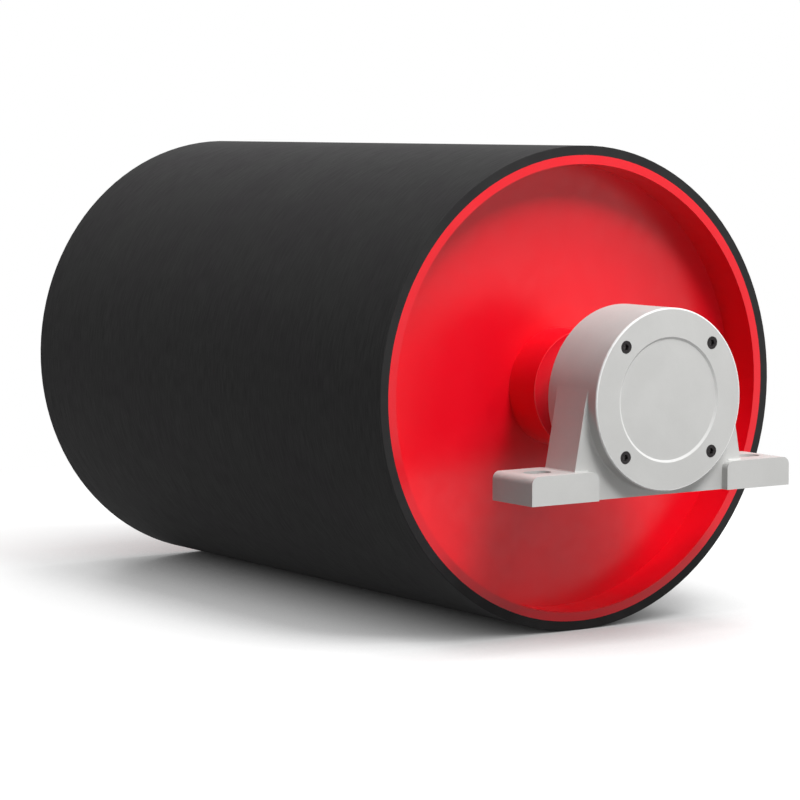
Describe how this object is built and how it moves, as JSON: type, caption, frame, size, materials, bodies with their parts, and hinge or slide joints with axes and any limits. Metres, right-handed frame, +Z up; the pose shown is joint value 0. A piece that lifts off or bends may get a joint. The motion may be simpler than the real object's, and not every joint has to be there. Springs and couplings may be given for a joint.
{
  "type": "conveyor pulley drum",
  "caption": "Rubber-lagged steel conveyor pulley drum keyed to a stepped shaft that turns in spherical roller bearings in one-piece pillow blocks with slotted feet.",
  "frame": {"origin": "middle of the drum, on the shaft's axis", "axes": "+Y along the shaft towards the floating bearing, +Z up, away from the frame that the pillow blocks stand on, X along the conveyor"},
  "size_m": [0.5199, 1.044, 0.52],
  "materials": {
    "drum_paint": "smooth semi-gloss red paint on welded steel",
    "lagging_rubber": "matt black rubber lagging, ground smooth",
    "casting_paint": "light grey paint on cast iron",
    "screw_steel": "black oxide steel",
    "machined_steel": "turned steel, lightly oiled",
    "bearing_steel": "ground and polished bearing steel",
    "cage_brass": "machined brass",
    "seal_rubber": "brown seal rubber"
  },
  "bodies": {
    "housings": {"locating_rings": "machined_steel", "housing_fixed": "casting_paint", "seal_cover_fixed": "casting_paint", "shaft_seal_fixed": "seal_rubber", "seal_cover_screws_fixed": "screw_steel", "end_cover_fixed": "casting_paint", "end_cover_screws_fixed": "screw_steel", "outer_ring_fixed": "bearing_steel", "housing_float": "casting_paint", "seal_cover_float": "casting_paint", "shaft_seal_float": "seal_rubber", "seal_cover_screws_float": "screw_steel", "end_cover_float": "casting_paint", "end_cover_screws_float": "screw_steel", "outer_ring_float": "bearing_steel"},
    "pulley": {"shell": "drum_paint", "lagging": "lagging_rubber", "shaft": "machined_steel", "end_disc_fixed": "drum_paint", "hub_fixed": "drum_paint", "disc_welds_fixed": "drum_paint", "hub_key_fixed": "machined_steel", "labyrinth_ring_fixed": "machined_steel", "inner_ring_fixed": "bearing_steel", "lock_washer_fixed": "machined_steel", "lock_nut_fixed": "machined_steel", "end_disc_float": "drum_paint", "hub_float": "drum_paint", "disc_welds_float": "drum_paint", "hub_key_float": "machined_steel", "labyrinth_ring_float": "machined_steel", "inner_ring_float": "bearing_steel", "lock_washer_float": "machined_steel", "lock_nut_float": "machined_steel"},
    "roller_set_fixed": {"cage_fixed": "cage_brass", "rollers_fixed": "bearing_steel"},
    "roller_set_float": {"cage_float": "cage_brass", "rollers_float": "bearing_steel"}
  },
  "joints": [
    {"name": "pulley_spin", "type": "hinge", "parent": "housings", "child": "pulley", "pos_m": [0, 0, 0], "axis": [0, 1, 0], "continuous": true},
    {"name": "roller_set_fixed_orbit", "type": "hinge", "parent": "housings", "child": "roller_set_fixed", "pos_m": [0, -0.481, 0], "axis": [0, 1, 0], "continuous": true},
    {"name": "roller_set_float_orbit", "type": "hinge", "parent": "housings", "child": "roller_set_float", "pos_m": [0, 0.481, 0], "axis": [0, 1, 0], "continuous": true}
  ],
  "couplings": [
    {"joint": "roller_set_fixed_orbit", "follows": "pulley_spin", "ratio": 0.4292},
    {"joint": "roller_set_float_orbit", "follows": "pulley_spin", "ratio": 0.4292}
  ]
}
